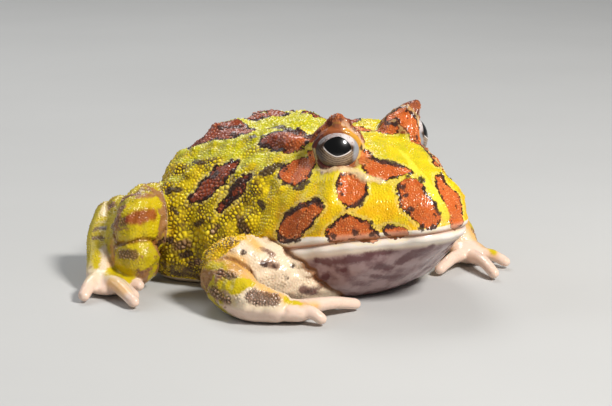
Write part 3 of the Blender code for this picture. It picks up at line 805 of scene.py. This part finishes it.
MAROON_BOTH = [
    [(317, 261, 3), (330, 262, 3), (350, 260, 4), (367, 258, 3)],
    [(368, 254, 3), (390, 252, 3)],
    [(378, 267, 4), (390, 268, 4)],
    [(400, 262, 5), (415, 254, 6), (430, 248, 5)],
    [(372, 276, 3), (385, 277, 3), (400, 276, 3)],
    [(322, 283, 4), (327, 275, 3)],
    [(338, 270, 3), (345, 270, 2)],
    [(303, 290, 4), (314, 292, 4)],
]
RED_BOTH = [[(130, 219, 5), (140, 217, 6), (153, 214, 7)]]
GOLD_BOTH = [
    [(115, 212, 5), (135, 207, 6), (158, 202, 6)],
    [(121, 237, 7), (140, 236, 8)],
    [(121, 194, 2.5), (136, 190, 2.5)],
    [(98, 219, 4), (107, 218, 4)],
    [(95, 234, 2), (103, 233, 2)],
    [(94, 245, 4), (96, 258, 5), (96, 267, 3)],
    [(203, 264, 4), (218, 266, 5)],
    [(222, 285, 5), (236, 286, 8), (250, 283, 6)],
    [(287, 300, 4), (298, 303, 4)],
    [(205, 252, 3), (216, 250, 4)],
]
# Orange patches on the arms and legs; the strokes that run along the arm crease are painted shade.
TINT_AND_CREASE_SHADE_BOTH = [
    [(226, 254, 4), (238, 262, 6), (250, 274, 7), (266, 288, 7), (284, 298, 5)],
    [(249, 239, 6), (257, 246, 6)],
    [(218, 259, 3), (246, 278, 4), (276, 295, 3)],
    [(113, 240, 3), (113, 262, 3), (117, 275, 3)],
    [(110, 282, 4), (124, 291, 4)],
    [(302, 304, 3), (316, 306, 3)],
]
GOLD_PLAN = [
    [(44, 20, 4.0), (52, 24, 4.0)],
    [(40, 33, 4.0), (50, 38, 4.5)],
    [(30, 46, 4.0), (36, 49, 3.0)],
]
spots = on_both_sides(SPOTS_BOTH)
spots += strokes(SPOTS_RIGHT, seen, MM_PER_PIXEL)
stains = on_both_sides(STAINS_BOTH)
maroon = on_both_sides(MAROON_BOTH)
red = on_both_sides(RED_BOTH)
gold = on_both_sides(GOLD_BOTH)
gold += strokes([[(-a, b, w) for a, b, w in mark] for mark in GOLD_PLAN], below, 1.0)
gold += strokes(GOLD_PLAN, below, 1.0)
tint = on_both_sides(TINT_AND_CREASE_SHADE_BOTH)
MIDLINE = [[
    (401, 151, 2.5), (413, 166, 3.5), (425, 179, 4), (435, 195, 4), (443, 209, 4), (447, 217, 4),
]]
midline = strokes(MIDLINE, seen, MM_PER_PIXEL)
EYE_FOLD = [[
    (319, 170, 1), (325, 172, 2), (334, 169.5, 2.5), (345, 170, 3), (355, 172, 3.5),
    (364, 178, 3), (381, 181, 2),
]]
eye_fold = on_both_sides(EYE_FOLD)


BEAD_SHARE = 0.7


def mark_values(marks):
    """Each bead takes its colour mostly from its own middle, as whole beads do."""
    here = depth_outside(marks, points)
    of_bead = depth_outside(marks, seeds)[bead]
    return here + (of_bead - here) * BEAD_SHARE * granular


values = {
    "blotch": mark_values(blotches),
    "spot": np.minimum(mark_values(spots), nostril_gap - NOSTRIL_SHADE),
    "stain": mark_values(stains),
    "maroon": depth_outside(maroon, points),
    "gold": mark_values(gold),
    "red": depth_outside(red, points),
    "tint": depth_outside(tint, points),
    "midline": depth_outside(midline, points),
    "eye_fold": depth_outside(eye_fold, points),
}

# Beads, warts and folds are raised last, so that the marks were found on even skin.
# The blotches' edges carry dark warts, and the brown patches of the arm stand high.
PATCH_HEIGHT, LOW_BEAD, BEAD_FOOT, FOLD_HEIGHT = 0.34, 0.50, 0.45, 0.45
stained = smooth_step(0.6, -0.6, values["stain"])
beaded = np.clip(granular + 0.75 * stained * (arm_top + over["forearm"] * 0.3), 0, 1)
rough_patch = stained * (over["forearm"] + draped)
bead_height *= 1 + 0.35 * face * smooth_step(0.3, -0.5, values["blotch"])
heights = (LOW_BEAD + bead_lot[bead] ** 2) * (bead_height * beaded + PATCH_HEIGHT * rough_patch)


def scattered(chance, count, width, height):
    """Warts strewn where the chance is high: their rise in mm, and how near each is."""
    places = points[draws.choice(len(points), count, replace=False, p=chance / chance.sum())]
    wart, gap = nearest(tree_of(places), points)
    lot = draws.random(count)[wart]
    near = np.exp(-((gap / MM / (width * (0.6 + 0.7 * lot))) ** 2))
    return height * (0.4 + lot) * near, near


rearward = np.clip(0.25 + 0.9 * smooth_step(-12.0, 4.0, y), 0, 1)
wart_chance = (granular + 0.6 * horns) * rearward * on_body
wart_rise, _ = scattered(wart_chance, WARTS, WART_WIDTH, WART_HEIGHT)
rim_chance = granular * bump(values["blotch"], 0.0, 0.45) * on_body
rim_wart_rise, rim_wart = scattered(rim_chance, RIM_WARTS, RIM_WART_WIDTH, RIM_WART_HEIGHT)
raised = heights * (dome - BEAD_FOOT)
raised = raised + (wart_rise + rim_wart_rise) * np.clip(granular + horns, 0, 1)
raised = raised + FOLD_HEIGHT * smooth_step(1.0, -0.5, values["eye_fold"])
points += normals * (raised * MM)[:, None]
set_points(skin.data, points)

throat = face * smooth_step(-2.2, -THROAT_TOP, above_mouth)
outward = (normals[:, 0] * np.sign(x) + normals[:, 1]) * math.sqrt(0.5)
values |= {
    "bead": 0.6 + (dome - 0.6) * np.clip(granular + rough_patch, 0, 1),
    "tone": bead_lot[bead],
    "granular": granular,
    "lime": np.clip(smooth_step(-16, 6, y) * on_body * (1 - 0.75 * flank)
                    + smooth_step(24, 38, z) * 0.55 * face, 0, 1),
    "rear": smooth_step(-14, 2, y) * on_body,
    "olive": over["foot"] * smooth_step(4.0, 8.0, z) * smooth_step(-0.1, 0.5, outward),
    "lips": upper_lip * smooth_step(-3.4, -1.6, above_mouth),
    "cream": np.clip(upper_lip + underside + over["upper_arm"] - draped + over["foot"]
                     + over["hand"] + over["forearm"] + over["thigh"] + over["shank"], 0, 1),
    "pink": np.clip(over["hand"] + over["foot"] * smooth_step(6.0, 3.5, z)
                    + over["forearm"] * smooth_step(5, 3, z), 0, 1),
    "tan": np.clip(over["thigh"] + over["shank"]
                   + over["forearm"] * smooth_step(-22, -12, y), 0, 1),
    "rim_wart": rim_wart * granular,
    "crease": crease_shading,
    "lid_snout": lid_snout,
    "lid_out": lid_out,
    "horn": horns,
    "throat": throat,
    "lid": lids,
    "net": np.clip(flank + 0.24 * on_body, 0, 1) * granular,
    "slit": bump(above_mouth, 0.25, 0.55) * face * smooth_step(-8.0, -12.0, y),
    "low": smooth_step(19.0, 4.0, z) * on_body * smooth_step(-6, 4, y),
}
for name, value in values.items():
    layer = skin.data.attributes.new(name, "FLOAT", "POINT")
    layer.data.foreach_set("value", value.astype(np.float32))


# Skin colours: the beads' tips are painted paler than their sides as painted highlight, and on the
# flanks a dark brown net of painted shade lies between them. Wet skin, so every bead has its small
# glint.
GOLDEN, YELLOW, LIME = (0.90, 0.50, 0.003), (0.88, 0.64, 0.004), (0.54, 0.50, 0.004)
CREAM, PINK, TAN = (0.82, 0.66, 0.47), (0.80, 0.60, 0.48), (0.34, 0.16, 0.05)
BRICK, BRICK_HIGHLIGHT = (0.60, 0.115, 0.016), (0.92, 0.43, 0.150)
REAR_BRICK, REAR_HIGHLIGHT = (0.22, 0.035, 0.010), (0.50, 0.16, 0.07)
DARK, NET_SHADE = (0.014, 0.005, 0.004), (0.060, 0.022, 0.004)
PALE_LINE = (0.88, 0.74, 0.30)
STAIN, MAROON, THROAT = (0.20, 0.080, 0.045), (0.12, 0.035, 0.038), (0.40, 0.27, 0.26)
LIPS = (0.90, 0.82, 0.74)
LID_COLOR, LID_MAROON, LID_GOLD = (0.34, 0.095, 0.028), (0.085, 0.016, 0.010), (0.72, 0.34, 0.035)
MOUTH_SHADE = (0.42, 0.13, 0.03)
YELLOW_HIGHLIGHT, LOW_BROWN_AND_SHADE, DARK_BEAD = (0.96, 0.82, 0.05), (0.10, 0.050, 0.016), (0.13, 0.060, 0.015)
FRECKLE, THROAT_DARK, OLIVE = (0.62, 0.38, 0.25), (0.19, 0.095, 0.095), (0.50, 0.38, 0.006)
ORANGE_AND_SHADE, GOLD, RED = (0.76, 0.40, 0.075), (0.60, 0.45, 0.006), (0.30, 0.050, 0.016)
STAIN_GAP_SHADE, STAIN_GLINT, CREASE_SHADE = (0.045, 0.018, 0.012), (0.66, 0.44, 0.31), (0.24, 0.080, 0.012)
HORN_GAP_SHADE, HORN_HIGH, HEM = (0.24, 0.050, 0.016), (0.60, 0.18, 0.05), (0.80, 0.50, 0.30)
PAINTED_GLINT, LIP_BRICK, WART = (0.90, 0.52, 0.35), (0.62, 0.34, 0.25), (0.035, 0.014, 0.010)
FOLD, MIDDLE, SPOT_AND_PIT_SHADE = (0.84, 0.62, 0.34), (0.80, 0.68, 0.04), (0.050, 0.022, 0.016)

paint = Paint("frog_skin")
small_wander = paint.sum(paint.noise(0.9 * MM), 0.5, "SUBTRACT")
wide_wander = paint.sum(paint.noise(3.5 * MM, 3.0), 0.5, "SUBTRACT")
wander = paint.sum(paint.times(small_wander, 1.4), paint.times(wide_wander, 1.3))
bead_up, tone, net = (paint.value(name) for name in ("bead", "tone", "net"))

greenness = paint.sum(paint.value("lime"), paint.times(wide_wander, 0.9))
ground = paint.blend(paint.step(greenness, -0.10, 0.28), GOLDEN, YELLOW)
ground = paint.blend(paint.step(greenness, 0.20, 0.95), ground, LIME)
# Painted highlight: bead crowns are made paler, more on some beads than others.
bead_highlight = paint.times(paint.step(bead_up, 0.5, 1.0), paint.step(tone, 0.2, 1.0, 0.10, 0.60))
ground = paint.blend(bead_highlight, ground, YELLOW_HIGHLIGHT)
# The lower flank takes dark brown mottles, partly its own colour and partly painted shade.
low_mottles_and_shade = paint.times(paint.value("low"), paint.step(paint.noise(2.2 * MM, 3.0), 0.36, 0.58))
ground = paint.blend(paint.times(low_mottles_and_shade, 0.88), ground, LOW_BROWN_AND_SHADE)
# Painted shade: a dark brown net in the low gaps between the flank beads, in clouds.
net_cloud = paint.step(paint.noise(4.0 * MM, 3.0), 0.35, 0.65, 0.30, 1.0)
net_shade_share = paint.times(paint.times(net, net_cloud), paint.step(bead_up, 0.60, 0.0))
ground = paint.blend(net_shade_share, ground, NET_SHADE)
dark_bead = paint.times(paint.times(net, net_cloud), paint.step(tone, 0.16, 0.11, 0.0, 0.8))
ground = paint.blend(dark_bead, ground, DARK_BEAD)

cream = paint.blend(paint.value("tan"), CREAM, TAN)
cream = paint.blend(paint.value("pink"), cream, PINK)
freckles = paint.step(paint.noise(1.4 * MM, 3.0), 0.5, 0.8, 0.0, 0.35)
cream = paint.blend(freckles, cream, FRECKLE)
throat_cloud = paint.step(paint.noise(4 * MM, 3.0), 0.4, 0.7)
throat_color = paint.blend(throat_cloud, THROAT, THROAT_DARK)
cream = paint.blend(paint.value("throat"), cream, throat_color)
cream = paint.blend(paint.times(paint.value("lips"), 0.85), cream, LIPS)
mottled = paint.sum(paint.value("tan"), paint.value("olive"), "MAXIMUM")
mottles = paint.times(mottled, paint.step(paint.noise(5.0 * MM, 3.0), 0.47, 0.56))
cream = paint.blend(paint.sum(mottles, paint.value("olive"), "MAXIMUM"), cream, OLIVE)
brown_mottles = paint.times(mottled, paint.step(paint.noise(2.8 * MM, 3.0), 0.60, 0.68, 0.0, 0.8))
cream = paint.blend(brown_mottles, cream, STAIN)
# Orange: the limbs' own orange patches, and an orange painted shade along the arm crease.
tint_and_crease_shade_share = paint.step(paint.sum(paint.value("tint"), wide_wander), 1.6, -1.2, 0.0, 0.8)
cream = paint.blend(tint_and_crease_shade_share, cream, ORANGE_AND_SHADE)
gold_share = paint.step(paint.sum(paint.value("gold"), wander), 0.5, -0.5)
cream = paint.blend(gold_share, cream, GOLD)
maroon_share = paint.step(paint.sum(paint.value("maroon"), wander), 0.7, -0.5, 0.0, 0.85)
cream = paint.blend(maroon_share, cream, MAROON)
cream_edge = paint.sum(paint.value("cream"), paint.times(small_wander, 0.5))
color = paint.blend(paint.step(cream_edge, 0.35, 0.65), ground, cream)

stain_share = paint.step(paint.sum(paint.value("stain"), wander), 0.5, -0.5, 0.0, 0.85)
# The brown patches get painted shade between their beads and painted glints on the bead tips.
stain_color = paint.blend(paint.step(bead_up, 0.45, 0.0), STAIN, STAIN_GAP_SHADE)
stain_glints = paint.times(paint.step(bead_up, 0.35, 1.0), paint.step(tone, 0.0, 1.0, 0.25, 1.0))
stain_color = paint.blend(stain_glints, stain_color, STAIN_GLINT)
color = paint.blend(stain_share, color, stain_color)
red_share = paint.step(paint.sum(paint.value("red"), wander), 0.8, -0.8, 0.0, 0.9)
color = paint.blend(red_share, color, RED)

# Painted shade: the skin darkens to brown in and beside the creases between limbs and body.
crease_shade_share = paint.step(paint.value("crease"), 0.12, 0.60, 0.0, 0.85)
color = paint.blend(crease_shade_share, color, CREASE_SHADE)
lid_cloud = paint.times(paint.sum(paint.noise(1.0 * MM, 3.0), 0.5, "SUBTRACT"), 0.8)
lid_front = paint.sum(paint.value("lid_snout"), lid_cloud)
# The lid turns maroon toward its back, partly its own colour and partly painted shade, and gold
# toward the snout.
lid_color = paint.blend(paint.step(lid_front, 0.05, -0.55), LID_COLOR, LID_MAROON)
lid_color = paint.blend(paint.step(lid_front, 0.45, 0.80), lid_color, LID_GOLD)
lid_out = paint.sum(paint.value("lid_out"), paint.times(lid_cloud, 1.2))
lid_hem = paint.times(paint.step(lid_out, 1.3, 1.7), paint.step(lid_out, 2.3, 1.9))
lid_hem = paint.times(lid_hem, paint.step(lid_front, 0.30, 0.70, 0.0, 0.75))
# The horn is painted darker between its beads, as shade.
horn_color = paint.blend(paint.step(bead_up, 0.0, 0.9), HORN_GAP_SHADE, HORN_HIGH)
horn_color = paint.blend(paint.step(paint.noise(1.8 * MM, 3.0), 0.42, 0.66), horn_color, LID_MAROON)
color = paint.blend(paint.step(paint.value("horn"), 0.25, 0.6), color, horn_color)
color = paint.blend(paint.step(paint.value("lid"), 0.35, 0.7), color, lid_color)
color = paint.blend(lid_hem, color, HEM)

ragged = paint.times(paint.value("rear"), paint.times(wide_wander, 3.0))
blotch = paint.sum(paint.sum(paint.sum(paint.value("blotch"), wander), ragged), -0.35)
rear = paint.value("rear")
brick_low = paint.blend(rear, BRICK, REAR_BRICK)
brick_highlight = paint.blend(rear, BRICK_HIGHLIGHT, REAR_HIGHLIGHT)
# Painted highlight: the bead crowns in the blotches are paler, more so in some clouds.
salmon = paint.step(paint.noise(3.0 * MM, 3.0), 0.35, 0.68, 0.50, 1.0)
lit_crowns = paint.times(paint.step(bead_up, 0.10, 0.90), paint.step(tone, 0.05, 0.90, 0.30, 1.0))
brick = paint.blend(paint.times(lit_crowns, salmon), brick_low, brick_highlight)
# Painted glints: pale pink tops on a few beads.
painted_glints = paint.times(paint.step(bead_up, 0.6, 1.0), paint.step(tone, 0.74, 0.80, 0.0, 0.6))
brick = paint.blend(painted_glints, brick, PAINTED_GLINT)
brick = paint.blend(paint.times(paint.value("lips"), 0.55), brick, LIP_BRICK)
brick = paint.blend(paint.step(paint.noise(1.6 * MM, 3.0), 0.62, 0.70, 0.0, 0.8), brick, DARK)
pale_line = paint.times(paint.step(blotch, 1.15, 0.75), paint.step(blotch, 0.1, 0.45))
color = paint.blend(paint.times(pale_line, 0.30), color, PALE_LINE)
color = paint.blend(paint.step(blotch, 0.15, -0.05), color, brick)
rim_width = paint.step(paint.noise(4.0 * MM, 2.0), 0.36, 0.64, 0.05, -0.80)
rim_width = paint.sum(rim_width, paint.times(paint.value("rear"), 0.45), "SUBTRACT")
inner_edge = paint.step(paint.sum(blotch, rim_width, "SUBTRACT"), -0.25, 0.1)
rim = paint.times(paint.step(blotch, 0.25, 0.0), inner_edge)
rim = paint.times(rim, paint.step(paint.value("lid"), 0.2, 0.6, 0.93, 0.0))
color = paint.blend(rim, color, DARK)
wart_share = paint.step(paint.value("rim_wart"), 0.35, 0.7, 0.0, 0.9)
color = paint.blend(wart_share, color, WART)

fold_share = paint.step(paint.sum(paint.value("eye_fold"), wander), 0.6, -0.5, 0.0, 0.8)
color = paint.blend(fold_share, color, FOLD)
midline_share = paint.step(paint.sum(paint.value("midline"), paint.times(wander, 0.6)), 0.3, -0.3)
color = paint.blend(paint.times(midline_share, 0.9), color, MIDDLE)
# Dark spots, and the painted shade inside the nostril pits.
spot_and_pit_shade_share = paint.step(paint.sum(paint.value("spot"), wander), 0.35, -0.25, 0.0, 0.92)
color = paint.blend(spot_and_pit_shade_share, color, SPOT_AND_PIT_SHADE)
# Painted shade: an orange-brown line just above the mouth slit.
mouth_shade_share = paint.value("slit")
color = paint.blend(paint.times(mouth_shade_share, 0.8), color, MOUTH_SHADE)

dampness = paint.step(paint.noise(0.7 * MM, 2.0), 0.3, 0.7, 0.36, 0.60)
grains = {"Vector": paint.place(), "Scale": 1 / (0.42 * MM)}
fine = paint.put("TexVoronoi", grains, feature="SMOOTH_F1")
relief = paint.sum(paint.times(fine.outputs["Distance"], -0.6), paint.noise(0.25 * MM, 2.0))
relief = paint.times(relief, paint.step(paint.value("granular"), 0.3, 0.9, 0.50, 1.0))
grainy = paint.put("Bump", {"Height": relief, "Strength": 0.35, "Distance": 0.10 * MM})
paint.finish({
    "Base Color": color, "Roughness": dampness, "Normal": grainy.outputs["Normal"],
    "Specular IOR Level": 0.15, "Coat Weight": 0.60, "Coat Roughness": 0.11,
    "Subsurface Weight": 0.10, "Subsurface Radius": (1.0, 0.45, 0.25),
    "Subsurface Scale": 1.2 * MM,
})
skin.data.materials.append(paint.material)

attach(skin, "root")
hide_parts(*[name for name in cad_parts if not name.startswith("eye_")])
skin.data.shade_smooth()


# Floor and lights: a plain pale floor, which stands in for the photo's black ground, a hair
# below the belly. Three round soft lamps hang over it in a faint grey room. Each lamp's turn
# and rise are in degrees, its reach and size in metres and its power in watts.
FLOOR_HALF, FLOOR_HEIGHT = 3.0, -0.0002
floor_shape = bmesh.new()
bmesh.ops.create_grid(floor_shape, x_segments=1, y_segments=1, size=FLOOR_HALF)
floor_mesh = bpy.data.meshes.new("floor")
floor_shape.to_mesh(floor_mesh)
floor_shape.free()
floor = add_object("floor", floor_mesh)
floor.location.z = FLOOR_HEIGHT


def lamp(name, turn, rise, reach, size, power, color):
    light = bpy.data.lights.new(name, "AREA")
    light.shape = "DISK"
    light.size = size
    light.energy = power
    light.color = color
    made = bpy.data.objects.new(name, light)
    bpy.context.scene.collection.objects.link(made)
    turn, rise = math.radians(turn), math.radians(rise)
    level = math.cos(rise)
    away = Vector((math.sin(turn) * level, -math.cos(turn) * level, math.sin(rise)))
    made.location = away * reach
    made.rotation_euler = away.to_track_quat("Z", "Y").to_euler()


lamp("key_light", 2, 46, 0.9, 0.20, 9.5, (1.0, 0.975, 0.94))
lamp("fill_light", -152, 35, 1.0, 0.6, 1.9, (0.94, 0.97, 1.0))
lamp("rim_light", 150, 50, 1.0, 0.4, 3.0, (1.0, 1.0, 1.0))
world = bpy.data.worlds.new("studio")
bpy.context.scene.world = world
bpy.context.scene.view_settings.view_transform = "Standard"
world.use_nodes = True
world.node_tree.nodes["Background"].inputs["Color"].default_value = (0.80, 0.82, 0.85, 1.0)
world.node_tree.nodes["Background"].inputs["Strength"].default_value = 0.20
plain = Paint("studio_floor")
floor_tone = plain.blend(plain.noise(0.08, 3.0), (0.50, 0.50, 0.49), (0.54, 0.54, 0.53))
plain.finish({"Base Color": floor_tone, "Roughness": 0.75})
floor.data.materials.append(plain.material)
